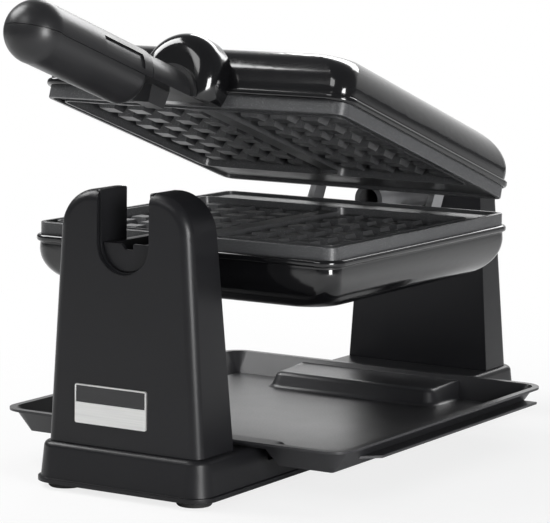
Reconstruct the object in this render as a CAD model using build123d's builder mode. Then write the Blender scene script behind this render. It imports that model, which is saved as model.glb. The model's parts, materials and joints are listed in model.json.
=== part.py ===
# Rotating waffle maker: two hinged irons that turn together on two posts over a drip tray.
# Millimetres. X runs across the machine, Y from the handle to the rear post, Z up.
# The origin is on the floor, below the middle of the whole machine as it stands open.
import os
from math import cos, radians, sin

from build123d import *

os.makedirs("parts", exist_ok=True)

# Overall layout, with Y places counted from the middle of the base
base_width = 130.0
base_length = 432.0
foot_height = 4.0
ledge_z = 29.5
saddle_z = 18.4
axis_z = 157.0
open_angle = 18.0
hinge_back = 112.0
hinge_rise = 14.5

# Clearances
running_gap = 0.3
seat_gap = 0.1
bearing_gap = 0.05
parting_gap = 0.6
boss_gap = 0.5
overshoot = 1.0

# Base
base_corner = 14.0
base_draft = 6.0
base_bead = 1.5
bead_height = 3.0
base_wall = 3.0
top_round = 4.0
front_ledge_back = 136.0
rear_ledge_front = 80.0
foot_radius = 11.0
foot_inset = 17.0
foot_chamfer = 0.8
cover_thickness = 2.0
vent_length = 9.0
vent_width = 3.0
vent_pitch_x = 12.0
vent_pitch_y = 40.0
base_boss_radius = 5.0
base_screw_radius = 1.9
base_screw_head = 3.6
base_screw_head_height = 2.0
inlet_radius = 4.4
inlet_height = 8.0
inlet_flange = 1.5
inlet_sleeve = 1.4
base_screw_rows = (-168.0, -60.0, 40.0, 168.0)
base_screw_x = 45.0

# Posts
post_top_z = 189.0
post_foot_half = 57.0
post_top_half = 46.5
shoulder_radius = 26.0
post_wall = 3.0
post_round = 7.0
front_face = 208.0
front_back_top = 178.0
front_back_foot = 169.0
rear_inner_face = 172.0
rear_outer_top = 199.0
rear_outer_foot = 206.0

# Notch and its liner
notch_radius = 19.0
liner_wall = 2.6
liner_end = 177.0
journal_radius = 17.6
journal_recess = 5.0
liner_round = 1.2

# Nameplate, left bare
plate_left = -34.0
plate_right = 19.0
plate_low = 43.5
plate_high = 68.0
plate_depth = 1.6
plate_frame = 0.9
plate_split = 55.8
plate_corner = 1.2
panel_recess = 0.6
panel_thickness = 0.5

# Irons
iron_middle = -28.2
shell_half_x = 114.6
shell_half_y = 121.1
shell_corner = 14.0
shell_rim_drop = 10.5
shell_bead = 4.6
bead_overhang = 2.2
shell_depth = 31.0
bowl_radius = 22.0
bowl_upright = 0.25
bowl_sections = 6
bowl_straight = 1 / 9
bead_top_flat = 0.3
bead_low_flat = 0.5
shell_wall = 2.2
seat_width = 3.0

# Waffle plates
grid_half_x = 111.5
grid_half_y = 116.5
grid_corner = 8.0
grid_height = 17.0
grid_floor = 3.5
cavity_depth = 12.5
rim_width = 3.0
gutter_width = 3.4
gutter_depth = 2.2
block_pitch = 22.5
block_rows = 8
block_columns = 4
block_foot = 17.0
block_height = 9.0
block_draft = 17.0
front_margin = 11.0
divider_width = 12.0
divider_drop = 2.5
divider_overlap = 1.0
divider_end = 5.0
lip_width = 1.6
lip_corner = 8.0
field_corner = 6.0
field_draft = 8.0
grid_round = 0.8
back_corner = 12.0

# Heating
element_radius = 3.2
element_half_x = 72.0
element_front = -110.0
element_back = 24.0
element_inner_x = 22.0
element_lead = 22.0
reflector_half_x = 92.0
reflector_front = -128.0
reflector_back = 48.0
reflector_drop = 9.0
reflector_sheet = 0.8
reflector_corner = 8.0
reflector_fold = 1.0
nut_height = 2.0
stud_radius = 3.2
stud_x = 46.0
stud_rows = (-92.0, 4.0)
thermostat_radius = 8.0
thermostat_height = 5.0
thermostat_y = 64.0
terminal_x = 3.5
terminal_thickness = 1.0
terminal_width = 5.0
terminal_length = 3.0

# Front dome, neck and handle
dome_radius = 28.5
dome_rise = 15.0
dome_front = 168.0
dome_round = 13.0
neck_back = 154.0
collar_radius = 20.5
collar_length = 3.0
grip_start = 212.0
grip_end = 312.0
grip_half_x = 17.2
grip_half_z = 19.0
grip_seam = 0.3
grip_wall = 3.0
grip_nose = 12.0
band_front = 264.0
band_back = 222.0
band_low = 3.5
band_high = 12.5
band_depth = 1.2
tongue_half = 7.0
tongue_drop = 11.0
tongue_gap = 2.0
tongue_draft = 6.0
trough_half = 11.5
trough_draft = 10.0
trough_depth = 13.5
slot_left = -3.0
slot_right = 4.3
slot_depth = 4.0
slot_slant = 1.5

# Hinge and rear axle
bracket_sheet = 2.6
bracket_half = 62.0
lower_bracket_height = 15.0
lower_bracket_drop = 3.0
upper_bracket_height = 12.0
upper_bracket_rise = 3.5
ear_foot = 8.0
ear_foot_drop = 10.0
ear_foot_rise = 4.0
upper_ear_trim = 1.0
lower_ear_x = 47.5
upper_ear_x = 40.5
ear_width = 5.0
ear_radius = 7.0
pin_radius = 2.5
pin_half = 54.0
pin_head = 4.0
pin_head_width = 1.5
axle_radius = 11.0
axle_bore = 7.5
axle_end = 192.0
bush_radius = 14.0
bush_flange = 18.0
bush_lip = 2.0
bush_sleeve = 6.0
clip_radius = 15.0
clip_width = 2.4
groove_depth = 1.0
axle_flange_width = 52.0
axle_flange_height = 14.0
axle_flange_drop = 11.0
axle_flange_corner = 3.0
bracket_screw_x = 34.0
bracket_screw_drop = 5.0
bracket_screw_radius = 3.2
bracket_screw_height = 1.8

# Drip tray
tray_half_x = 128.8
tray_front = -161.0
tray_back = 123.0
tray_rim_z = 34.5
tray_sheet = 1.6
tray_flange = 3.0
tray_draft = 35.0
tray_corner = 16.0
plateau_half_front = 71.0
plateau_half_back = 61.0
plateau_slope = 25.0
plateau_margin = 3.0
plateau_corner = 6.0
lip_front = -118.0
lip_depth = 9.5
lip_reach = 7.5
lip_beyond_rim = 0.4
plateau_run_out = 10.0

# Places worked out from the driving dimensions
hinge_z = axis_z + hinge_rise
handle_reach = (grip_end + hinge_back) * cos(radians(open_angle))
handle_reach += hinge_rise * sin(radians(open_angle)) + grip_half_z - hinge_back
middle = (handle_reach - base_length / 2) / 2
hinge_y = middle + hinge_back
iron_y = middle + iron_middle
grid_front = iron_y - grid_half_y
grid_top = axis_z - parting_gap / 2
grid_bottom = grid_top - grid_height
back_recess = grid_height - cavity_depth - grid_floor
shell_rim = grid_top + parting_gap / 2 - shell_rim_drop
hinge_axis = Axis((0, hinge_y, hinge_z), (1, 0, 0))
parting = Plane.XY.offset(axis_z)


def across(y, x=0.0, z=0.0):
    """Upright plane facing the rear, at a distance from the middle of the base."""
    return Plane(origin=(x, middle + y, z), x_dir=(-1, 0, 0), z_dir=(0, 1, 0))


def side(x):
    """Upright plane facing +X, whose own x is Y and whose own y is Z."""
    return Plane(origin=(x, middle, 0), x_dir=(0, 1, 0), z_dir=(1, 0, 0))


def opened(piece):
    """A piece of the upper iron, turned from shut to its open rest."""
    return piece.rotate(hinge_axis, -open_angle)


# Base bar: a drafted moulding, high under the posts and low under the tray
base_half_x = base_width / 2 - base_bead
base_half_y = base_length / 2 - base_bead
saddle_length = front_ledge_back + rear_ledge_front
saddle_y = (rear_ledge_front - front_ledge_back) / 2
screw_places = [(x, y) for x in (-base_screw_x, base_screw_x) for y in base_screw_rows]
with BuildPart() as base_bar:
    with BuildSketch(Plane((0, middle, foot_height))):
        RectangleRounded(2 * base_half_x, 2 * base_half_y, base_corner)
    extrude(amount=ledge_z - foot_height, taper=base_draft)
    fillet(base_bar.faces().sort_by(Axis.Z)[-1].edges(), top_round)
    with BuildSketch(Plane((0, middle, foot_height))):
        RectangleRounded(base_width, base_length, base_corner + base_bead)
    extrude(amount=bead_height)
    with BuildSketch(Plane((0, middle + saddle_y, saddle_z))):
        Rectangle(2 * base_width, saddle_length)
    extrude(amount=ledge_z, mode=Mode.SUBTRACT)
    with BuildSketch(Plane((0, middle, foot_height))):
        RectangleRounded(
            2 * (base_half_x - base_wall), 2 * (base_half_y - base_wall), base_corner - base_wall
        )
    extrude(amount=cover_thickness, mode=Mode.SUBTRACT)
    with BuildSketch(Plane((0, middle, foot_height))):
        RectangleRounded(
            2 * (base_half_x - 2 * base_wall), 2 * (base_half_y - 2 * base_wall), base_corner / 2
        )
        with Locations(screw_places):
            Circle(base_boss_radius, mode=Mode.SUBTRACT)
    extrude(amount=saddle_z - base_wall - foot_height, mode=Mode.SUBTRACT)
    for low, high in (
        (2 * base_wall - base_half_y, -front_ledge_back - base_wall),
        (rear_ledge_front + base_wall, base_half_y - 2 * base_wall),
    ):
        with BuildSketch(Plane((0, middle, saddle_z - base_wall))):
            with Locations((0, (low + high) / 2)):
                Rectangle(2 * (base_half_x - 3 * base_wall), high - low - 2 * base_wall)
            with Locations(screw_places):
                Circle(base_boss_radius, mode=Mode.SUBTRACT)
        extrude(amount=ledge_z - saddle_z, mode=Mode.SUBTRACT)
    with BuildSketch(Plane((0, middle, foot_height))):
        with Locations(screw_places):
            Circle(base_boss_radius + boss_gap)
    extrude(amount=cover_thickness, mode=Mode.SUBTRACT)
    with BuildSketch(Plane((0, middle, foot_height + cover_thickness))):
        with Locations(screw_places):
            Circle(base_screw_radius + seat_gap)
    extrude(amount=saddle_z - foot_height - 3 * base_wall, mode=Mode.SUBTRACT)
    with BuildSketch(across(base_length / 2 + overshoot, z=foot_height + inlet_height)):
        Circle(inlet_radius)
    extrude(amount=-4 * base_wall, mode=Mode.SUBTRACT)
base_bar.part.label = "base_bar"
export_step(base_bar.part, "parts/base_bar.step")

# Bottom cover: a plate that closes the underside of the base
cover_half_x = base_half_x - base_wall - running_gap
cover_half_y = base_half_y - base_wall - running_gap
with BuildPart() as bottom_cover:
    with BuildSketch(Plane((0, middle, foot_height))):
        RectangleRounded(2 * cover_half_x, 2 * cover_half_y, base_corner - base_wall)
        with Locations(screw_places):
            Circle(base_screw_radius + seat_gap, mode=Mode.SUBTRACT)
        with GridLocations(vent_pitch_x, vent_pitch_y, 3, 3):
            SlotOverall(vent_length, vent_width, mode=Mode.SUBTRACT)
    extrude(amount=cover_thickness)
bottom_cover.part.label = "bottom_cover"
export_step(bottom_cover.part, "parts/bottom_cover.step")

# Cover screws: pan heads below the cover, shanks up in the bosses
with BuildPart() as cover_screws:
    with BuildSketch(Plane((0, middle, foot_height - base_screw_head_height))):
        with Locations(screw_places):
            Circle(base_screw_head)
    extrude(amount=base_screw_head_height)
    with BuildSketch(Plane((0, middle, foot_height))):
        with Locations(screw_places):
            Circle(base_screw_radius)
    extrude(amount=saddle_z - foot_height - 3 * base_wall)
cover_screws.part.label = "cover_screws"
export_step(cover_screws.part, "parts/cover_screws.step")

# Feet: four rubber pads under the corners
foot_x = base_width / 2 - foot_inset
foot_y = base_length / 2 - foot_inset
for foot_name, foot_place_x, foot_place_y in (
    ("foot_front_left", -foot_x, -foot_y),
    ("foot_front_right", foot_x, -foot_y),
    ("foot_rear_left", -foot_x, foot_y),
    ("foot_rear_right", foot_x, foot_y),
):
    with BuildPart() as foot:
        with BuildSketch(Plane((foot_place_x, middle + foot_place_y, 0))):
            Circle(foot_radius)
        extrude(amount=foot_height)
        chamfer(foot.faces().sort_by(Axis.Z)[0].edges(), foot_chamfer)
    foot.part.label = foot_name
    export_step(foot.part, f"parts/{foot_name}.step")


def post_outline(inset):
    """Front view of a post: sides that lean in, with round shoulders."""
    low = post_foot_half - inset
    high = post_top_half - inset
    top = post_top_z - inset
    with BuildSketch(Plane.XZ) as outline:
        with BuildLine():
            FilletPolyline(
                (low, ledge_z),
                (high, top),
                (-high, top),
                (-low, ledge_z),
                radius=shoulder_radius - inset,
            )
            Line((-low, ledge_z), (low, ledge_z))
        make_face()
    return outline.sketch


def post_body(front, back_top, back_foot, inset):
    """A post without its openings: the front view carried back between its two faces."""
    with BuildPart() as body:
        with BuildSketch(side(-base_width)):
            with BuildLine():
                Polyline(
                    (front, ledge_z),
                    (back_foot, ledge_z),
                    (back_top, post_top_z),
                    (front, post_top_z),
                    close=True,
                )
            make_face()
        extrude(amount=2 * base_width)
        with BuildSketch(across(-base_length)):
            add(post_outline(inset))
        extrude(amount=2 * base_length, mode=Mode.INTERSECT)
    return body.part


def above_ledge(face):
    """The edges of a post's face, but for the one that stands on the ledge."""
    return face.edges().filter_by_position(Axis.Z, ledge_z + overshoot, post_top_z + overshoot)


# Front post: a hollow upright with a round-bottomed notch for the turning journal
liner_outer = journal_radius + running_gap + liner_wall
with BuildPart() as front_post:
    add(post_body(-front_face, -front_back_top, -front_back_foot, 0))
    fillet(above_ledge(front_post.faces().sort_by(Axis.Y)[0]), post_round)
    add(
        post_body(
            -front_face + post_wall, -front_back_top - post_wall, -front_back_foot - post_wall,
            post_wall,
        ),
        mode=Mode.SUBTRACT,
    )
    with BuildSketch(across(-front_face - overshoot, z=axis_z)):
        Circle(notch_radius)
        with Locations((0, post_top_z / 2)):
            Rectangle(2 * notch_radius, post_top_z)
    extrude(amount=post_wall + overshoot + seat_gap, mode=Mode.SUBTRACT)
    with BuildSketch(across(-front_face + post_wall, z=axis_z)):
        Circle(liner_outer + seat_gap)
        with Locations((0, post_top_z / 2)):
            Rectangle(2 * (liner_outer + seat_gap), post_top_z)
    extrude(amount=front_face, mode=Mode.SUBTRACT)
front_post.part.label = "front_post"
export_step(front_post.part, "parts/front_post.step")

# Notch liner: the plain bearing that the journal turns in
with BuildPart() as notch_liner:
    with BuildSketch(across(-front_face + post_wall, z=axis_z)):
        Circle(liner_outer)
        with Locations((0, (post_top_z - axis_z - seat_gap) / 2)):
            Rectangle(2 * liner_outer, post_top_z - axis_z - seat_gap)
        Circle(journal_radius + running_gap, mode=Mode.SUBTRACT)
        with Locations((0, post_top_z / 2)):
            Rectangle(2 * (journal_radius + running_gap), post_top_z, mode=Mode.SUBTRACT)
    extrude(amount=front_face - post_wall - liner_end)
    fillet(notch_liner.edges().filter_by(Axis.X).group_by(Axis.Z)[-1], liner_round)
notch_liner.part.label = "front_notch_liner"
export_step(notch_liner.part, "parts/front_notch_liner.step")

# Rear post: a hollow upright that carries the rear bearing
with BuildPart() as rear_post:
    add(post_body(rear_inner_face, rear_outer_top, rear_outer_foot, 0))
    fillet(above_ledge(rear_post.faces().sort_by(Axis.Y)[-1]), post_round)
    add(
        post_body(
            rear_inner_face + post_wall, rear_outer_top - post_wall, rear_outer_foot - post_wall,
            post_wall,
        ),
        mode=Mode.SUBTRACT,
    )
    with BuildSketch(across(rear_inner_face - overshoot, z=axis_z)):
        Circle(bush_radius + bearing_gap)
    extrude(amount=post_wall + 2 * overshoot, mode=Mode.SUBTRACT)
rear_post.part.label = "rear_post"
export_step(rear_post.part, "parts/rear_post.step")

# Rear bearing bush: flanged, pressed into the inner wall of the rear post
with BuildPart() as rear_bush:
    with BuildSketch(across(rear_inner_face - bush_lip, z=axis_z)):
        Circle(bush_flange)
        Circle(axle_radius + bearing_gap, mode=Mode.SUBTRACT)
    extrude(amount=bush_lip)
    with BuildSketch(across(rear_inner_face, z=axis_z)):
        Circle(bush_radius)
        Circle(axle_radius + bearing_gap, mode=Mode.SUBTRACT)
    extrude(amount=bush_sleeve)
rear_bush.part.label = "rear_bearing_bush"
export_step(rear_bush.part, "parts/rear_bearing_bush.step")

# Cord inlet: a flanged grommet in the rear end of the base, with nothing in it
with BuildPart() as cord_inlet:
    with BuildSketch(across(base_length / 2, z=foot_height + inlet_height)):
        Circle(inlet_radius + inlet_flange)
    extrude(amount=inlet_flange)
    with BuildSketch(across(base_length / 2, z=foot_height + inlet_height)):
        Circle(inlet_radius - seat_gap)
    extrude(amount=-2 * base_wall)
    with BuildSketch(across(base_length / 2 + 2 * overshoot, z=foot_height + inlet_height)):
        Circle(inlet_radius - inlet_sleeve)
    extrude(amount=-5 * base_wall, mode=Mode.SUBTRACT)
cord_inlet.part.label = "cord_inlet_grommet"
export_step(cord_inlet.part, "parts/cord_inlet_grommet.step")

# Nameplate: a bright frame round an upper and a lower panel, all bare
plate_middle_x = (plate_left + plate_right) / 2
plate_middle_z = (plate_low + plate_high) / 2
plate_width = plate_right - plate_left
plate_face = Plane(origin=(0, middle - front_face, 0), x_dir=(1, 0, 0), z_dir=(0, -1, 0))
with BuildPart() as nameplate_frame:
    with BuildSketch(plate_face):
        with Locations((plate_middle_x, plate_middle_z)):
            RectangleRounded(plate_width, plate_high - plate_low, plate_corner)
    extrude(amount=plate_depth)
    with BuildSketch(plate_face.offset(plate_depth - panel_recess)):
        with Locations((plate_middle_x, (plate_split + plate_high) / 2)):
            Rectangle(plate_width - 2 * plate_frame, plate_high - plate_split - 2 * plate_frame)
    extrude(amount=overshoot, mode=Mode.SUBTRACT)
nameplate_frame.part.label = "nameplate"
export_step(nameplate_frame.part, "parts/nameplate.step")

with BuildPart() as nameplate_panel:
    with BuildSketch(plate_face.offset(plate_depth - panel_recess)):
        with Locations((plate_middle_x, (plate_split + plate_high) / 2)):
            Rectangle(
                plate_width - 2 * (plate_frame + seat_gap),
                plate_high - plate_split - 2 * (plate_frame + seat_gap),
            )
    extrude(amount=panel_thickness)
nameplate_panel.part.label = "nameplate_dark_panel"
export_step(nameplate_panel.part, "parts/nameplate_dark_panel.step")


def bowl(inset, raised):
    """The bowl of a shell as a solid, inset all round, its walls curving in to a flat bottom."""
    half_x = shell_half_x - bead_overhang - inset
    half_y = shell_half_y - bead_overhang - inset
    corner = shell_corner - bead_overhang - inset / 2
    depth = shell_depth - raised
    turn = bowl_radius - inset
    with BuildPart() as solid:
        for step in range(bowl_sections + 1):
            swing = radians(90.0 * step / bowl_sections)
            inward = turn * (1 - cos(swing))
            down = depth * (bowl_upright + (1 - bowl_upright) * sin(swing) if step else bowl_straight)
            with BuildSketch(Plane((0, iron_y, shell_rim - down))):
                RectangleRounded(2 * (half_x - inward), 2 * (half_y - inward), corner + inward / 2)
        loft()
        with BuildSketch(Plane((0, iron_y, shell_rim - depth * bowl_straight))):
            RectangleRounded(2 * half_x, 2 * half_y, corner)
        extrude(amount=depth * bowl_straight)
    return solid.part


def iron_shell():
    """A bowl with a rolled rim and an inner seat for its waffle plate."""
    with BuildPart() as shell:
        add(bowl(0, 0))
        with BuildSketch(Plane((0, iron_y, shell_rim - shell_bead / 2))):
            RectangleRounded(2 * shell_half_x, 2 * shell_half_y, shell_corner)
        extrude(amount=shell_bead)
        rolled = shell.faces().filter_by(Axis.Z).sort_by(Axis.Z)
        fillet(rolled[-1].edges(), shell_bead / 2 - bead_top_flat)
        fillet(rolled[-2].outer_wire().edges(), shell_bead / 2 - bead_low_flat)
        add(bowl(shell_wall + seat_width, shell_wall), mode=Mode.SUBTRACT)
        with BuildSketch(Plane((0, iron_y, grid_bottom))):
            RectangleRounded(
                2 * (grid_half_x + seat_gap), 2 * (grid_half_y + seat_gap), grid_corner + seat_gap
            )
        extrude(amount=grid_height, mode=Mode.SUBTRACT)
    return shell.part


def waffle_plate():
    """A cast plate: a rim, a steam gutter, and two fields of tapered blocks."""
    cavity_half_x = grid_half_x - rim_width - gutter_width - lip_width
    field_width = (2 * cavity_half_x - divider_width) / 2
    field_length = block_rows * block_pitch
    field_y = grid_front + front_margin + field_length / 2
    floor_z = grid_top - cavity_depth
    field_x = (divider_width + field_width) / 2
    with BuildPart() as plate:
        with BuildSketch(Plane((0, iron_y, grid_bottom))):
            RectangleRounded(2 * grid_half_x, 2 * grid_half_y, grid_corner)
        extrude(amount=grid_height)
        fillet(plate.faces().sort_by(Axis.Z)[-1].edges(), grid_round)
        with BuildSketch(Plane((0, iron_y, grid_top - gutter_depth))):
            RectangleRounded(
                2 * (grid_half_x - rim_width), 2 * (grid_half_y - rim_width), grid_corner - rim_width
            )
        extrude(amount=gutter_depth, mode=Mode.SUBTRACT)
        with BuildSketch(Plane((0, field_y, grid_top - gutter_depth))):
            RectangleRounded(
                2 * (cavity_half_x + lip_width), field_length + 2 * lip_width, lip_corner
            )
        extrude(amount=gutter_depth)
        with BuildSketch(Plane(origin=(0, field_y, grid_top), x_dir=(1, 0, 0), z_dir=(0, 0, -1))):
            with Locations((-field_x, 0), (field_x, 0)):
                RectangleRounded(field_width, field_length, field_corner)
        extrude(amount=cavity_depth, taper=field_draft, mode=Mode.SUBTRACT)
        with BuildSketch(Plane((0, field_y, grid_top - divider_drop))):
            Rectangle(divider_width + 2 * divider_overlap, field_length - 2 * divider_end)
        extrude(amount=divider_drop, mode=Mode.SUBTRACT)
        with BuildSketch(Plane((0, field_y, floor_z))):
            with Locations((-field_x, 0), (field_x, 0)):
                with GridLocations(block_pitch, block_pitch, block_columns, block_rows):
                    Rectangle(block_foot, block_foot)
        extrude(amount=block_height, taper=block_draft)
        with BuildSketch(Plane((0, iron_y, grid_bottom))):
            RectangleRounded(
                2 * (grid_half_x - 2 * rim_width), 2 * (grid_half_y - 2 * rim_width), back_corner
            )
        extrude(amount=back_recess, mode=Mode.SUBTRACT)
    return plate.part


# Lower shell, cut at the front for the lower half of the journal
with BuildPart() as lower_shell:
    add(iron_shell())
    with BuildSketch(across(-front_back_top, z=axis_z)):
        Circle(journal_radius + seat_gap)
    extrude(amount=front_back_top + iron_middle - grid_half_y, mode=Mode.SUBTRACT)
lower_shell.part.label = "lower_shell"
export_step(lower_shell.part, "parts/lower_shell.step")

with BuildPart() as lower_plate:
    add(waffle_plate())
lower_plate.part.label = "lower_waffle_plate"
export_step(lower_plate.part, "parts/lower_waffle_plate.step")

# Upper shell: the same bowl turned over, with the dome that the handle grows from
with BuildPart() as shut_upper_shell:
    add(mirror(iron_shell(), about=parting))
    with BuildSketch(across(-dome_front, z=axis_z + dome_rise)):
        Circle(dome_radius)
    extrude(amount=dome_front + iron_middle - grid_half_y - seat_gap)
    dome_rim = shut_upper_shell.faces().sort_by(Axis.Y)[0].edges()
    fillet(dome_rim, dome_round)
    with BuildSketch(Plane((0, iron_y, axis_z + parting_gap / 2))):
        Rectangle(4 * shell_half_x, 4 * shell_half_y)
    extrude(amount=-4 * dome_radius, mode=Mode.SUBTRACT)
    with BuildSketch(across(-dome_front - overshoot, z=axis_z)):
        Circle(journal_radius + seat_gap)
    extrude(amount=dome_front + overshoot - neck_back, mode=Mode.SUBTRACT)
upper_shell = opened(shut_upper_shell.part)
upper_shell.label = "upper_shell"
export_step(upper_shell, "parts/upper_shell.step")

upper_plate = opened(mirror(waffle_plate(), about=parting))
upper_plate.label = "upper_waffle_plate"
export_step(upper_plate, "parts/upper_waffle_plate.step")

# Lower journal half: a half-round trough, fixed to the lower shell, that lies in the notch
journal_front = front_face - journal_recess
journal_back = -iron_middle + grid_half_y
with BuildPart() as lower_journal:
    with BuildSketch(across(-journal_front, z=axis_z)):
        Circle(journal_radius)
        with Locations((0, journal_radius)):
            Rectangle(2 * journal_radius, 2 * journal_radius + parting_gap, mode=Mode.SUBTRACT)
    extrude(amount=journal_front - journal_back - seat_gap)
    with BuildSketch(Plane((0, middle - journal_front, axis_z))):
        with Locations((0, (journal_front - journal_back) / 2)):
            Rectangle(2 * trough_half, journal_front - journal_back - 2 * base_wall)
    extrude(amount=-trough_depth, taper=trough_draft, mode=Mode.SUBTRACT)
    with BuildSketch(across(-journal_front - overshoot)):
        with BuildLine():
            Polyline(
                (-slot_right, axis_z),
                (-slot_right, axis_z - slot_depth),
                (-slot_left - slot_slant, axis_z - slot_depth),
                (-slot_left + slot_slant, axis_z),
                close=True,
            )
        make_face()
    extrude(amount=base_wall + 2 * overshoot, mode=Mode.SUBTRACT)
lower_journal.part.label = "lower_journal_half"
export_step(lower_journal.part, "parts/lower_journal_half.step")

# Handle neck and upper grip half, one moulding: half-round through the notch, fuller beyond it
with BuildPart() as neck:
    with BuildSketch(across(-neck_back, z=axis_z)):
        Circle(journal_radius)
    extrude(amount=neck_back - grip_start - overshoot)
    with BuildSketch(across(-dome_front - collar_length, z=axis_z)):
        Circle(collar_radius)
    extrude(amount=collar_length - seat_gap)
    with BuildSketch(across(-grip_start, z=axis_z)):
        Ellipse(grip_half_x, grip_half_z)
    extrude(amount=grip_start - grip_end)
    with BuildSketch(Plane((0, middle, axis_z + grip_seam / 2))):
        Rectangle(4 * dome_radius, 4 * grip_end)
    extrude(amount=-2 * dome_radius, mode=Mode.SUBTRACT)
    with BuildSketch(across(-grip_end, z=axis_z)):
        Ellipse(grip_half_x - grip_wall, grip_half_z - grip_wall)
    extrude(amount=grip_end - grip_start - grip_wall, mode=Mode.SUBTRACT)
    with BuildSketch(across(-band_front, z=axis_z)):
        with Locations((0, (band_low + band_high) / 2)):
            Rectangle(4 * grip_half_x, band_high - band_low)
        Ellipse(grip_half_x - band_depth, grip_half_z - band_depth, mode=Mode.SUBTRACT)
    extrude(amount=band_front - band_back, mode=Mode.SUBTRACT)
    with BuildSketch(Plane((0, middle, axis_z + grip_seam / 2))):
        with Locations((0, -(journal_front - base_wall - tongue_gap + front_back_top) / 2)):
            Rectangle(2 * tongue_half, journal_front - base_wall - tongue_gap - front_back_top)
    extrude(amount=-tongue_drop, taper=tongue_draft)
handle_neck = opened(neck.part)
handle_neck.label = "handle_neck_and_upper_grip"
export_step(handle_neck, "parts/handle_neck_and_upper_grip.step")

# Lower grip half, closed at its inner end by a rounded shoulder
with BuildPart() as lower_grip:
    with BuildSketch(across(-grip_start, z=axis_z)):
        Ellipse(grip_half_x, grip_half_z)
    extrude(amount=grip_start - grip_end)
    fillet(lower_grip.faces().sort_by(Axis.Y)[-1].edges(), grip_nose)
    with BuildSketch(across(-grip_end, z=axis_z)):
        Ellipse(grip_half_x - grip_wall, grip_half_z - grip_wall)
    extrude(amount=grip_end - grip_start - 3 * grip_wall, mode=Mode.SUBTRACT)
    with BuildSketch(Plane((0, middle, axis_z - grip_seam / 2))):
        Rectangle(4 * dome_radius, 4 * grip_end)
    extrude(amount=2 * dome_radius, mode=Mode.SUBTRACT)
handle_lower_grip = opened(lower_grip.part)
handle_lower_grip.label = "handle_lower_grip"
export_step(handle_lower_grip, "parts/handle_lower_grip.step")

# Ball end of the handle, an upper and a lower cap
for cap_name, cap_side in (("handle_upper_cap", 1), ("handle_lower_cap", -1)):
    with BuildPart() as cap:
        with BuildSketch(side(0)) as cap_profile:
            with Locations((-grip_end, axis_z)):
                Circle(grip_half_z)
            with Locations((grip_half_z - grip_end, axis_z)):
                Rectangle(2 * grip_half_z + 2 * seat_gap, 2 * grip_half_z, mode=Mode.SUBTRACT)
            with Locations((-grip_end, axis_z - grip_half_z)):
                Rectangle(2.2 * grip_half_z, 2 * grip_half_z, mode=Mode.SUBTRACT)
        revolve(axis=Axis((0, middle, axis_z), (0, 1, 0)))
        with BuildSketch(Plane((0, middle - grip_end, axis_z + cap_side * grip_seam / 2))):
            Rectangle(3 * grip_half_z, 3 * grip_half_z)
        extrude(amount=-cap_side * 2 * grip_half_z, mode=Mode.SUBTRACT)
    handle_cap = opened(cap.part)
    handle_cap.label = cap_name
    export_step(handle_cap, f"parts/{cap_name}.step")


def heating_element():
    """One sheathed tube bent into an M below the plate, with its leads at the back."""
    height = grid_bottom + back_recess - element_radius - seat_gap
    turn = (element_half_x - element_inner_x) / 2
    with BuildPart() as element:
        with BuildLine(Plane((0, middle, height))) as path:
            first = Line(
                (-element_inner_x, element_back + element_lead),
                (-element_inner_x, element_front + turn),
            )
            left = RadiusArc(
                first @ 1, (-element_half_x, element_front + turn), -turn, short_sagitta=True
            )
            Line(left @ 1, (-element_half_x, element_back))
        with BuildSketch(Plane(origin=path.wires()[0] @ 0, z_dir=path.wires()[0] % 0)):
            Circle(element_radius)
        sweep(path=path.wires()[0])
        mirror(about=Plane.YZ)
        with BuildSketch(Plane(origin=(-element_half_x, middle + element_back, height), z_dir=(1, 0, 0))):
            Circle(element_radius)
        extrude(amount=2 * element_half_x)
    return element.part


def reflector():
    """A thin folded pan that throws the heat back at the plate."""
    top = grid_bottom + back_recess - seat_gap
    length = reflector_back - reflector_front
    centre = (0, middle + (reflector_front + reflector_back) / 2)
    with BuildPart() as pan:
        with BuildSketch(Plane((*centre, top - reflector_drop))):
            RectangleRounded(2 * reflector_half_x, length, reflector_corner)
        extrude(amount=reflector_drop)
        with BuildSketch(Plane((*centre, top - reflector_drop + reflector_sheet))):
            RectangleRounded(
                2 * (reflector_half_x - reflector_sheet),
                length - 2 * reflector_sheet,
                reflector_corner - reflector_fold,
            )
        extrude(amount=reflector_drop, mode=Mode.SUBTRACT)
        with BuildSketch(Plane((0, middle, top - reflector_drop))):
            with Locations([(x, y) for x in (-stud_x, stud_x) for y in stud_rows]):
                Circle(stud_radius / 2 + seat_gap)
        extrude(amount=reflector_sheet, mode=Mode.SUBTRACT)
    return pan.part


def reflector_nuts():
    """Two rows of nuts below the reflector, each on a stud of the plate."""
    top = grid_bottom + back_recess - seat_gap
    with BuildPart() as nuts:
        with BuildSketch(Plane((0, middle, top - reflector_drop))):
            with Locations([(x, y) for x in (-stud_x, stud_x) for y in stud_rows]):
                RegularPolygon(stud_radius, 6)
        extrude(amount=-nut_height)
        with BuildSketch(Plane((0, middle, top - reflector_drop))):
            with Locations([(x, y) for x in (-stud_x, stud_x) for y in stud_rows]):
                Circle(stud_radius / 2)
        extrude(amount=reflector_drop)
    return nuts.part


def thermostat():
    """A disc thermostat below the plate with its two terminals."""
    top = grid_bottom + back_recess - seat_gap
    with BuildPart() as disc:
        with BuildSketch(Plane((0, middle + thermostat_y, top))):
            Circle(thermostat_radius)
        extrude(amount=-thermostat_height)
        with BuildSketch(Plane((0, middle + thermostat_y, top - thermostat_height))):
            with Locations((-terminal_x, 0), (terminal_x, 0)):
                Rectangle(terminal_thickness, terminal_width)
        extrude(amount=-terminal_length)
    return disc.part


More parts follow.
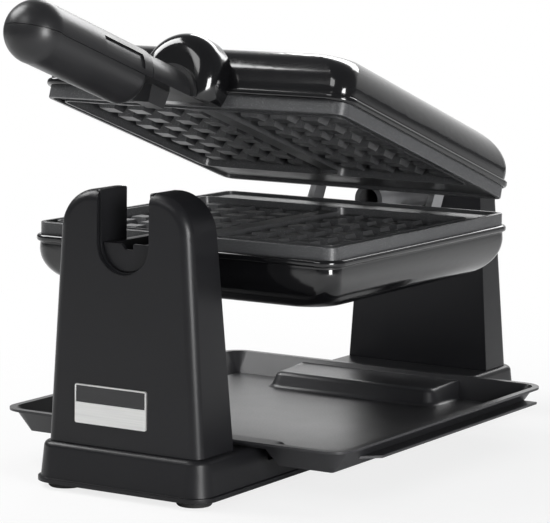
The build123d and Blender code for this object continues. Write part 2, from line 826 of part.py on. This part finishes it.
# The same heating parts below the lower plate and above the upper plate
for part_name, make_piece in (
    ("heating_element", heating_element),
    ("heat_reflector", reflector),
    ("reflector_nuts", reflector_nuts),
    ("thermostat", thermostat),
):
    lower_piece = make_piece()
    lower_piece.label = f"lower_{part_name}"
    export_step(lower_piece, f"parts/lower_{part_name}.step")
    upper_piece = opened(mirror(lower_piece, about=parting))
    upper_piece.label = f"upper_{part_name}"
    export_step(upper_piece, f"parts/upper_{part_name}.step")

# Lower hinge bracket: a plate on the back of the lower shell with two ears for the pin
bracket_face = iron_middle + shell_half_y + seat_gap
ear_seat = hinge_back - bracket_face
with BuildPart() as lower_bracket:
    with BuildSketch(across(bracket_face)):
        with Locations((0, shell_rim - lower_bracket_drop)):
            Rectangle(2 * bracket_half, lower_bracket_height)
    extrude(amount=bracket_sheet)
    for ear_x in (-lower_ear_x, lower_ear_x):
        with BuildSketch(side(ear_x - ear_width / 2)):
            with BuildLine():
                Polyline(
                    (bracket_face, shell_rim - ear_foot_drop),
                    (bracket_face + ear_foot, shell_rim - ear_foot_drop),
                    (hinge_back + ear_radius, hinge_z),
                    (hinge_back - ear_radius, hinge_z),
                    (bracket_face, shell_rim + ear_foot_rise),
                    close=True,
                )
            make_face()
            with Locations((hinge_back, hinge_z)):
                Circle(ear_radius)
        extrude(amount=ear_width)
    with BuildSketch(side(-2 * bracket_half)):
        with Locations((hinge_back, hinge_z)):
            Circle(pin_radius + bearing_gap)
    extrude(amount=4 * bracket_half, mode=Mode.SUBTRACT)
    with BuildSketch(across(bracket_face - overshoot, z=axis_z)):
        Circle(axle_bore)
    extrude(amount=bracket_sheet + 2 * overshoot, mode=Mode.SUBTRACT)
lower_bracket.part.label = "lower_hinge_bracket"
export_step(lower_bracket.part, "parts/lower_hinge_bracket.step")

# Upper hinge bracket: a plate on the back of the upper shell, its ears inside the lower ones
upper_rim = 2 * axis_z - shell_rim
with BuildPart() as upper_bracket:
    with BuildSketch(across(bracket_face)):
        with Locations((0, upper_rim + upper_bracket_rise)):
            Rectangle(2 * (upper_ear_x + ear_width / 2), upper_bracket_height)
    extrude(amount=bracket_sheet)
    for ear_x in (-upper_ear_x, upper_ear_x):
        with BuildSketch(side(ear_x - ear_width / 2)):
            with Locations(((bracket_face + hinge_back) / 2, hinge_z)):
                Rectangle(ear_seat, ear_foot)
            with Locations((hinge_back, hinge_z)):
                Circle(ear_radius - upper_ear_trim)
        extrude(amount=ear_width)
    with BuildSketch(side(-2 * bracket_half)):
        with Locations((hinge_back, hinge_z)):
            Circle(pin_radius + bearing_gap)
    extrude(amount=4 * bracket_half, mode=Mode.SUBTRACT)
upper_hinge_bracket = opened(upper_bracket.part)
upper_hinge_bracket.label = "upper_hinge_bracket"
export_step(upper_hinge_bracket, "parts/upper_hinge_bracket.step")

# Hinge pin, headed at both ends
with BuildPart() as hinge_pin:
    with BuildSketch(side(-pin_half)):
        with Locations((hinge_back, hinge_z)):
            Circle(pin_radius)
    extrude(amount=2 * pin_half)
    for head_x in (-pin_half, pin_half - pin_head_width):
        with BuildSketch(side(head_x)):
            with Locations((hinge_back, hinge_z)):
                Circle(pin_head)
        extrude(amount=pin_head_width)
hinge_pin.part.label = "hinge_pin"
export_step(hinge_pin.part, "parts/hinge_pin.step")

# Rear axle: a tube with a flange on the lower hinge bracket, hollow for the wires
axle_start = bracket_face + bracket_sheet
with BuildPart() as rear_axle:
    with BuildSketch(across(axle_start, z=axis_z)):
        Circle(axle_radius)
        Circle(axle_bore, mode=Mode.SUBTRACT)
    extrude(amount=axle_end - axle_start)
    with BuildSketch(across(axle_start)):
        with Locations((0, axis_z - axle_flange_drop)):
            RectangleRounded(axle_flange_width, axle_flange_height, axle_flange_corner)
        with Locations((0, axis_z)):
            Circle(axle_bore, mode=Mode.SUBTRACT)
    extrude(amount=bracket_sheet)
    with BuildSketch(across(axle_end - 2 * clip_width, z=axis_z)):
        Circle(axle_radius + overshoot)
        Circle(axle_radius - groove_depth, mode=Mode.SUBTRACT)
    extrude(amount=clip_width, mode=Mode.SUBTRACT)
rear_axle.part.label = "rear_axle_tube"
export_step(rear_axle.part, "parts/rear_axle_tube.step")

# Retaining clip in the groove at the end of the axle, inside the rear post
with BuildPart() as axle_clip:
    with BuildSketch(across(axle_end - 2 * clip_width + seat_gap, z=axis_z)):
        Circle(clip_radius)
        Circle(axle_radius - groove_depth + seat_gap, mode=Mode.SUBTRACT)
        with Locations((0, -clip_radius)):
            Rectangle(axle_radius, 2 * clip_radius, mode=Mode.SUBTRACT)
    extrude(amount=clip_width - 2 * seat_gap)
axle_clip.part.label = "axle_retaining_clip"
export_step(axle_clip.part, "parts/axle_retaining_clip.step")

# Bracket screws: through the hinge brackets into the backs of the shells
with BuildPart() as bracket_screws:
    with BuildSketch(across(bracket_face + bracket_sheet)):
        for screw_x in (-bracket_screw_x, bracket_screw_x):
            with Locations((screw_x, shell_rim - bracket_screw_drop)):
                Circle(bracket_screw_radius)
    extrude(amount=bracket_screw_height)
bracket_screws.part.label = "hinge_bracket_screws"
export_step(bracket_screws.part, "parts/hinge_bracket_screws.step")

# Drip tray: a drafted pan with raised plateaus over the base ledges and a grip lip at each side
tray_length = tray_back - tray_front
tray_y = middle + (tray_back + tray_front) / 2
tray_floor = saddle_z + seat_gap
plateau_z = ledge_z + seat_gap
tray_depth = tray_rim_z - tray_floor


def tray_solid(inset, rise):
    """The pan as a solid block, inset all round, with its floor raised."""
    with BuildPart() as solid:
        rim_plane = Plane(origin=(0, tray_y, tray_rim_z), x_dir=(1, 0, 0), z_dir=(0, 0, -1))
        with BuildSketch(rim_plane):
            RectangleRounded(
                2 * (tray_half_x - tray_flange - inset),
                tray_length - 2 * (tray_flange + inset),
                tray_corner - tray_flange - inset,
            )
        extrude(amount=tray_depth - rise, taper=tray_draft)
        for half, low, high in (
            (plateau_half_front, tray_front - plateau_run_out, plateau_margin - front_ledge_back),
            (plateau_half_back, rear_ledge_front - plateau_margin, tray_back + plateau_run_out),
        ):
            with BuildSketch(Plane((0, middle, plateau_z + rise))):
                with Locations((0, (low + high) / 2)):
                    RectangleRounded(2 * (half + inset), high - low + 2 * inset, plateau_corner)
            extrude(amount=-tray_depth, taper=-plateau_slope, mode=Mode.SUBTRACT)
    return solid.part


with BuildPart() as drip_tray:
    add(tray_solid(0, 0))
    with BuildSketch(Plane((0, tray_y, tray_rim_z - tray_sheet))):
        RectangleRounded(2 * tray_half_x, tray_length, tray_corner)
    extrude(amount=tray_sheet)
    lip_back = tray_back - tray_corner
    for lip_side in (-1, 1):
        with BuildSketch(Plane((0, middle, tray_rim_z - lip_depth - tray_sheet))):
            with BuildLine():
                Polyline(
                    (lip_side * (tray_half_x - 2 * lip_reach), lip_front - lip_reach),
                    (lip_side * (tray_half_x - lip_reach), lip_front),
                    (lip_side * (tray_half_x + lip_beyond_rim), lip_front + lip_reach),
                    (lip_side * (tray_half_x + lip_beyond_rim), lip_back),
                    (lip_side * (tray_half_x - 2 * lip_reach), lip_back),
                    close=True,
                )
            make_face()
        extrude(amount=tray_sheet)
    add(tray_solid(tray_sheet, tray_sheet), mode=Mode.SUBTRACT)
drip_tray.part.label = "drip_tray"
export_step(drip_tray.part, "parts/drip_tray.step")
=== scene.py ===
"""Looks for the rotating waffle maker: finishes, softened edges, camera, studio floor and lights."""

import json
from math import radians

import bmesh
import bpy
from mathutils import Matrix, Vector


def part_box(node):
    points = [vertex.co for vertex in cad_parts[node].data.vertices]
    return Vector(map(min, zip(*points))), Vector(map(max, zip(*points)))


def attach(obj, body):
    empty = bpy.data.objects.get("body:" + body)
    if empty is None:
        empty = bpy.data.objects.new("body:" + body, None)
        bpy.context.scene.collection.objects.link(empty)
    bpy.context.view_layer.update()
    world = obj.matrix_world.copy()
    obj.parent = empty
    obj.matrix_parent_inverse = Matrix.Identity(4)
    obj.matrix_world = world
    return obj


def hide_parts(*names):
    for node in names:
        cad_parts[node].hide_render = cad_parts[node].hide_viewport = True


MM = 0.001
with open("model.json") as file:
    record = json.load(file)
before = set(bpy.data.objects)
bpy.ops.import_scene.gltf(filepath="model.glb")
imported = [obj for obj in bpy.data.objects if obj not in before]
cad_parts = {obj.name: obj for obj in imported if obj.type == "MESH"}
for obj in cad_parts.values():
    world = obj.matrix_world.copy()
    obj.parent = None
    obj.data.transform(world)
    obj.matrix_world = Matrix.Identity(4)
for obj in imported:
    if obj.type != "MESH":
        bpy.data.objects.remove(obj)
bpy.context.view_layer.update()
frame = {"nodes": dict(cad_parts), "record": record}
nodes = frame["nodes"]


# Shader maths
NOISE_LOW = 0.3
NOISE_HIGH = 0.7


class Socket:
    """An output socket that plain arithmetic can be written with."""

    def __init__(self, graph, socket):
        self.graph = graph
        self.socket = socket

    def __add__(self, other):
        return self.graph.maths("ADD", self, other)

    __radd__ = __add__

    def __mul__(self, other):
        return self.graph.maths("MULTIPLY", self, other)

    __rmul__ = __mul__

    def spread(self, low, high, to_low, to_high):
        """The value mapped from one range to another, and held inside it."""
        return self.graph.make(
            "ShaderNodeMapRange", "Result",
            {"Value": self, "From Min": low, "From Max": high, "To Min": to_low, "To Max": to_high},
        )

    def vary(self, low, high):
        """A noise's usual values mapped to a range."""
        return self.spread(NOISE_LOW, NOISE_HIGH, low, high)


class Graph:
    """A node tree, built one node at a time."""

    def __init__(self, tree):
        self.tree = tree

    def fill(self, target, value):
        """Gives an input a plain value or the output of another node."""
        if isinstance(value, Socket):
            self.tree.links.new(value.socket, target)
        else:
            target.default_value = value

    def make(self, kind, output, inputs, **settings):
        """Adds a node, fills its inputs and returns one of its outputs."""
        node = self.tree.nodes.new(kind)
        for setting, value in settings.items():
            setattr(node, setting, value)
        for key, value in inputs.items():
            self.fill(node.inputs[key], value)
        return Socket(self, node.outputs[output])

    def maths(self, operation, first, second):
        return self.make("ShaderNodeMath", 0, {0: first, 1: second}, operation=operation)

    def ray(self, question):
        """One where the light path answers the question with yes, and zero elsewhere."""
        return self.make("ShaderNodeLightPath", question, {})

    def mix_shaders(self, amount, first, second):
        return self.make("ShaderNodeMixShader", 0, {0: amount, 1: first, 2: second})


class Shader(Graph):
    """A material with a principled surface."""

    def __init__(self, name, **surface):
        self.material = bpy.data.materials.new(name)
        self.material.use_nodes = True
        super().__init__(self.material.node_tree)
        self.surface = self.tree.nodes["Principled BSDF"]
        for socket, value in surface.items():
            self.set(socket.replace("_", " ").title().replace("Ior", "IOR"), value)

    def set(self, socket, value):
        """Sets one input of the surface."""
        self.fill(self.surface.inputs[socket], value)

    def place(self, stretch=(1, 1, 1)):
        """Object coordinates, stretched along the axes."""
        coordinates = self.make("ShaderNodeTexCoord", "Object", {})
        return self.make("ShaderNodeMapping", 0, {"Vector": coordinates, "Scale": stretch})

    def noise(self, scale, detail, stretch=(1, 1, 1)):
        return self.make(
            "ShaderNodeTexNoise", "Fac",
            {"Vector": self.place(stretch), "Scale": scale, "Detail": detail},
        )

    def colour(self, amount, low, high):
        """A colour mixed from two by an amount."""
        return self.make(
            "ShaderNodeMix", 2, {0: amount, 6: (*low, 1), 7: (*high, 1)}, data_type="RGBA"
        )

    def bump(self, height, distance, strength):
        """Turns a height into the surface's normal."""
        normal = self.make(
            "ShaderNodeBump", 0, {"Height": height, "Distance": distance, "Strength": strength}
        )
        self.set("Normal", normal)


# Finishes
def satin_black():
    """Fine-grained satin moulding."""
    m = Shader("satin_black", roughness=0.36, specular_ior_level=0.3)
    cloud = m.noise(18, 4)
    grain = m.noise(2600, 2)
    m.set("Base Color", m.colour(cloud, (0.006, 0.006, 0.0068), (0.010, 0.010, 0.0115)))
    m.set("Roughness", cloud.vary(0.32, 0.40) + grain.vary(-0.03, 0.03))
    m.bump(grain, 0.03 * MM, 0.4)
    return m.material


def gloss_black():
    """Polished black lacquer with the faintest waviness."""
    m = Shader("gloss_black", roughness=0.12, coat_weight=0.3, coat_roughness=0.06)
    m.set("Base Color", m.colour(m.noise(9, 3), (0.0025, 0.0025, 0.003), (0.005, 0.005, 0.0055)))
    m.set("Roughness", m.noise(40, 4).vary(0.10, 0.15))
    m.bump(m.noise(26, 1), 0.10 * MM, 0.2)
    return m.material


def handle_black():
    """Half-gloss grip plastic, smoother than the posts."""
    m = Shader("handle_black", roughness=0.34, specular_ior_level=0.38)
    cloud = m.noise(30, 3)
    m.set("Base Color", m.colour(cloud, (0.012, 0.012, 0.013), (0.019, 0.019, 0.020)))
    m.set("Roughness", cloud.vary(0.30, 0.38))
    return m.material


def coated_cast():
    """Dark non-stick coating on cast metal, with a fine speckle."""
    m = Shader("coated_cast", roughness=0.36, specular_ior_level=0.6)
    speckle = m.noise(1500, 3)
    cloud = m.noise(30, 4)
    fleck = speckle.spread(0.55, 0.72, 0, 1)
    m.set("Base Color", m.colour(fleck, (0.045, 0.046, 0.048), (0.14, 0.14, 0.145)))
    m.set("Roughness", cloud.vary(0.30, 0.42))
    m.bump(speckle, 0.06 * MM, 0.6)
    return m.material


def tray_enamel():
    """Satin black enamel on pressed sheet."""
    m = Shader("tray_enamel", roughness=0.38, specular_ior_level=0.5)
    grain = m.noise(900, 3)
    cloud = m.noise(12, 3)
    m.set("Base Color", m.colour(cloud, (0.016, 0.016, 0.0175), (0.024, 0.024, 0.0265)))
    m.set("Roughness", cloud.vary(0.30, 0.38) + grain.vary(-0.03, 0.03))
    m.bump(grain, 0.05 * MM, 0.4)
    return m.material


def brushed(name, low, high, stretch):
    """Metal brushed along one axis."""
    m = Shader(name, metallic=0.9, roughness=0.42)
    lines = m.noise(900, 3, stretch)
    m.set("Base Color", m.colour(lines, low, high))
    m.set("Roughness", lines.vary(0.36, 0.50))
    m.bump(lines, 0.03 * MM, 0.5)
    return m.material


def plain_moulding(name, low, high, roughness):
    """Moulded resin or rubber with a little variation."""
    m = Shader(name, roughness=roughness)
    cloud = m.noise(60, 3)
    m.set("Base Color", m.colour(cloud, low, high))
    m.set("Roughness", cloud.vary(roughness - 0.04, roughness + 0.04))
    m.bump(m.noise(1200, 2), 0.03 * MM, 0.3)
    return m.material


finishes = {
    "satin_plastic": satin_black(),
    "gloss_shell": gloss_black(),
    "coated_plate": coated_cast(),
    "tray_metal": tray_enamel(),
    "bright_metal": brushed("brushed_silver", (0.66, 0.66, 0.65), (0.90, 0.90, 0.88), (0.02, 1, 1)),
    "dark_panel": plain_moulding("dark_panel", (0.010, 0.010, 0.011), (0.016, 0.016, 0.017), 0.2),
    "steel": brushed("plated_steel", (0.36, 0.36, 0.37), (0.52, 0.52, 0.53), (1, 0.05, 1)),
    "rubber": plain_moulding("rubber", (0.012, 0.012, 0.012), (0.02, 0.02, 0.02), 0.75),
    "switch_body": plain_moulding("switch_resin", (0.5, 0.44, 0.34), (0.6, 0.54, 0.42), 0.5),
}
handle_finish = handle_black()
slot_of = {entry["node"]: entry["material_slot"] for entry in frame["record"]["subparts"]}
for node, slot in slot_of.items():
    mesh = nodes[node].data
    mesh.materials.clear()
    mesh.materials.append(handle_finish if node.startswith("handle_") else finishes[slot])


# Pieces whose edges are softened: each stands for a CAD node and rides on its body
MERGE_DISTANCE = 0.002 * MM
SLIVER_SIZE = 0.01 * MM
LEVEL_SLACK = 0.1 * MM
BENT_ANGLE = 0.1
FACET_ANGLE = radians(0.4)
SHARP_ANGLE = radians(35)
SMOOTH_ANGLE = radians(32)
ROUND_SEGMENTS = 5
EDGE_SEGMENTS = 2
LARGE_FACE_WEIGHT = 100


def select_level_edges(height, reach):
    """Selects the bent edges of the open mesh that lie at a height, up to a reach to each side."""
    mesh = bmesh.from_edit_mesh(bpy.context.object.data)
    for edge in mesh.edges:
        level = all(abs(vertex.co.z - height) < LEVEL_SLACK for vertex in edge.verts)
        inside = all(abs(vertex.co.x) < reach for vertex in edge.verts)
        bent = len(edge.link_faces) == 2 and edge.calc_face_angle() > BENT_ANGLE
        edge.select_set(level and inside and bent)
    bmesh.update_edit_mesh(bpy.context.object.data)


def softened(node, body, edge_width, level_rounds=()):
    """A merged copy of a node with its sharp edges bevelled and chosen level edges rounded."""
    piece = bpy.data.objects.new(f"{node}_soft", nodes[node].data.copy())
    bpy.context.scene.collection.objects.link(piece)
    bpy.ops.object.select_all(action="DESELECT")
    piece.select_set(True)
    bpy.context.view_layer.objects.active = piece
    bpy.ops.mesh.customdata_custom_splitnormals_clear()
    bpy.ops.object.mode_set(mode="EDIT")
    bpy.ops.mesh.select_mode(type="EDGE")
    bpy.ops.mesh.select_all(action="SELECT")
    bpy.ops.mesh.remove_doubles(threshold=MERGE_DISTANCE)
    bpy.ops.mesh.dissolve_limited(angle_limit=FACET_ANGLE)
    for height, reach, radius in level_rounds:
        bpy.ops.mesh.select_all(action="DESELECT")
        select_level_edges(height, reach)
        bpy.ops.mesh.bevel(
            offset=radius, segments=ROUND_SEGMENTS, affect="EDGES", clamp_overlap=True
        )
    if edge_width:
        bpy.ops.mesh.select_all(action="DESELECT")
        bpy.ops.mesh.edges_select_sharp(sharpness=SHARP_ANGLE)
        bpy.ops.mesh.bevel(
            offset=edge_width, segments=EDGE_SEGMENTS, affect="EDGES", clamp_overlap=False
        )
    bpy.ops.mesh.select_all(action="SELECT")
    bpy.ops.mesh.dissolve_degenerate(threshold=SLIVER_SIZE)
    bpy.ops.mesh.quads_convert_to_tris(ngon_method="BEAUTY")
    bpy.ops.object.mode_set(mode="OBJECT")
    bpy.ops.object.shade_smooth_by_angle(angle=SMOOTH_ANGLE)
    flat_faces = piece.modifiers.new("flat_faces", "WEIGHTED_NORMAL")
    flat_faces.keep_sharp = True
    flat_faces.weight = LARGE_FACE_WEIGHT
    bpy.ops.object.modifier_apply(modifier=flat_faces.name)
    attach(piece, body)
    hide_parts(node)


TRAY_SHEET = 1.6 * MM
PLATEAU_RISE = 11.1 * MM
PLATEAU_REACH = 84 * MM
PLATEAU_TOP_ROUND = 3.2 * MM
PLATEAU_FOOT_ROUND = 2.6 * MM
POST_EDGE = 0.45 * MM
BAR_EDGE = 0.4 * MM
JOURNAL_EDGE = 0.4 * MM
LINER_EDGE = 0.35 * MM
NAMEPLATE_EDGE = 0.2 * MM
NO_EDGE = 0.0
tray_floor_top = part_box("drip_tray")[0].z + TRAY_SHEET
plateau_rounds = (
    (tray_floor_top + PLATEAU_RISE, PLATEAU_REACH, PLATEAU_TOP_ROUND),
    (tray_floor_top, PLATEAU_REACH, PLATEAU_FOOT_ROUND),
)
softened("drip_tray", "tray", NO_EDGE, plateau_rounds)
softened("front_post", "stand", POST_EDGE)
softened("rear_post", "stand", POST_EDGE)
softened("lower_journal_half", "lower_iron", JOURNAL_EDGE)
softened("front_notch_liner", "stand", LINER_EDGE)
softened("nameplate", "stand", NAMEPLATE_EDGE)
softened("base_bar", "stand", BAR_EDGE)


# Camera: fitted to the straight edges of the base, the tray and the irons
base_low, base_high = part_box("base_bar")
base_middle = (base_low.y + base_high.y) / 2
CAMERA_PLACE = Vector((0.9247, -1.5479 + base_middle, 0.3699))
CAMERA_AZIMUTH = radians(31.37)
CAMERA_HEIGHT = radians(7.73)
CAMERA_ROLL = radians(-0.75)
SENSOR_WIDTH = 36
LENS_LENGTH = 176.67
LENS_SHIFT = (0.0024, -0.0048)
FARTHEST_SHOWN = 20
camera_data = bpy.data.cameras.new("camera")
camera = bpy.data.objects.new("camera", camera_data)
bpy.context.scene.collection.objects.link(camera)
camera_data.sensor_width = SENSOR_WIDTH
camera_data.lens = LENS_LENGTH
camera_data.shift_x, camera_data.shift_y = LENS_SHIFT
camera_data.clip_end = FARTHEST_SHOWN
camera.matrix_world = (
    Matrix.Translation(CAMERA_PLACE)
    @ Matrix.Rotation(CAMERA_AZIMUTH, 4, "Z")
    @ Matrix.Rotation(radians(90) - CAMERA_HEIGHT, 4, "X")
    @ Matrix.Rotation(-CAMERA_ROLL, 4, "Z")
)
bpy.context.scene.camera = camera


# Floor, backdrop light and studio lights
WHITE = (1, 1, 1, 1)
FLOOR_SIZE = 60
FLOOR_GREYS = ((0.82, 0.82, 0.82), (0.84, 0.84, 0.84))
SHADOW_WHITENESS = 0.8
FADE_START = 0.32
FADE_END = 0.75
ROOM_LIGHT = 0.16
ROOM_COLOUR = (0.95, 0.97, 1.0, 1)
BACKDROP_SIDE = (-0.25, 0.97, 0.0)
BACKDROP_RIM = 0.64
BACKDROP_HEART = 1.0


def studio_floor():
    """A white floor that keeps the soft shadow and fades to plain white away from the machine."""
    bpy.ops.mesh.primitive_plane_add(size=FLOOR_SIZE, location=(0, 0, 0))
    floor = bpy.context.object
    floor.name = "floor"
    m = Shader("floor", roughness=0.9, specular_ior_level=0.0)
    m.set("Base Color", m.colour(m.noise(3, 2), *FLOOR_GREYS))
    white = m.make("ShaderNodeEmission", 0, {"Color": WHITE, "Strength": 1.0})
    away = m.make("ShaderNodeVectorMath", "Value", {0: m.place()}, operation="LENGTH")
    faded = away.spread(FADE_START, FADE_END, SHADOW_WHITENESS, 1.0)
    lit = Socket(m, m.surface.outputs["BSDF"])
    shown = m.mix_shaders(faded * m.ray("Is Camera Ray"), lit, white)
    m.fill(m.tree.nodes["Material Output"].inputs["Surface"], shown)
    floor.data.materials.append(m.material)


def world_light():
    """White for the camera and, behind the machine, for mirror-like surfaces; dim for the rest."""
    world = bpy.data.worlds.new("studio")
    bpy.context.scene.world = world
    world.use_nodes = True
    w = Graph(world.node_tree)
    direction = w.make("ShaderNodeTexCoord", "Generated", {})
    behind = w.make(
        "ShaderNodeVectorMath", "Value", {0: direction, 1: BACKDROP_SIDE}, operation="DOT_PRODUCT"
    )
    backdrop = behind.spread(BACKDROP_RIM, BACKDROP_HEART, 0.0, 1.0)
    mirrored = w.maths("MAXIMUM", w.ray("Is Glossy Ray"), w.ray("Is Transmission Ray"))
    white_part = w.maths("MAXIMUM", w.ray("Is Camera Ray"), mirrored * backdrop)
    dim = w.make("ShaderNodeBackground", 0, {"Color": ROOM_COLOUR, "Strength": ROOM_LIGHT})
    white = w.make("ShaderNodeBackground", 0, {"Color": WHITE, "Strength": 1.0})
    shown = w.mix_shaders(white_part, dim, white)
    w.fill(w.tree.nodes["World Output"].inputs["Surface"], shown)


def soft_box(name, place, size, power):
    """An area light that faces the middle of the machine."""
    light_data = bpy.data.lights.new(name, "AREA")
    light_data.shape = "RECTANGLE"
    light_data.size, light_data.size_y = size
    light_data.energy = power
    light = bpy.data.objects.new(name, light_data)
    bpy.context.scene.collection.objects.link(light)
    light.location = place
    light.rotation_mode = "QUATERNION"
    light.rotation_quaternion = (LIT_MIDDLE - Vector(place)).to_track_quat("-Z", "Y")


LIT_MIDDLE = Vector((0, base_middle, 0.15))
studio_floor()
world_light()
soft_box("left_top_box", place=(-1.52, -0.25, 1.65), size=(1.1, 1.1), power=38)
soft_box("right_front_box", place=(1.7, -0.95, 0.35), size=(0.6, 0.9), power=40)
soft_box("front_top_box", place=(-0.5, -1.6, 1.6), size=(0.9, 0.7), power=9)
soft_box("rear_box", place=(-0.4, 1.9, 1.3), size=(1.6, 0.8), power=22)
bpy.context.scene.view_settings.view_transform = "Standard"
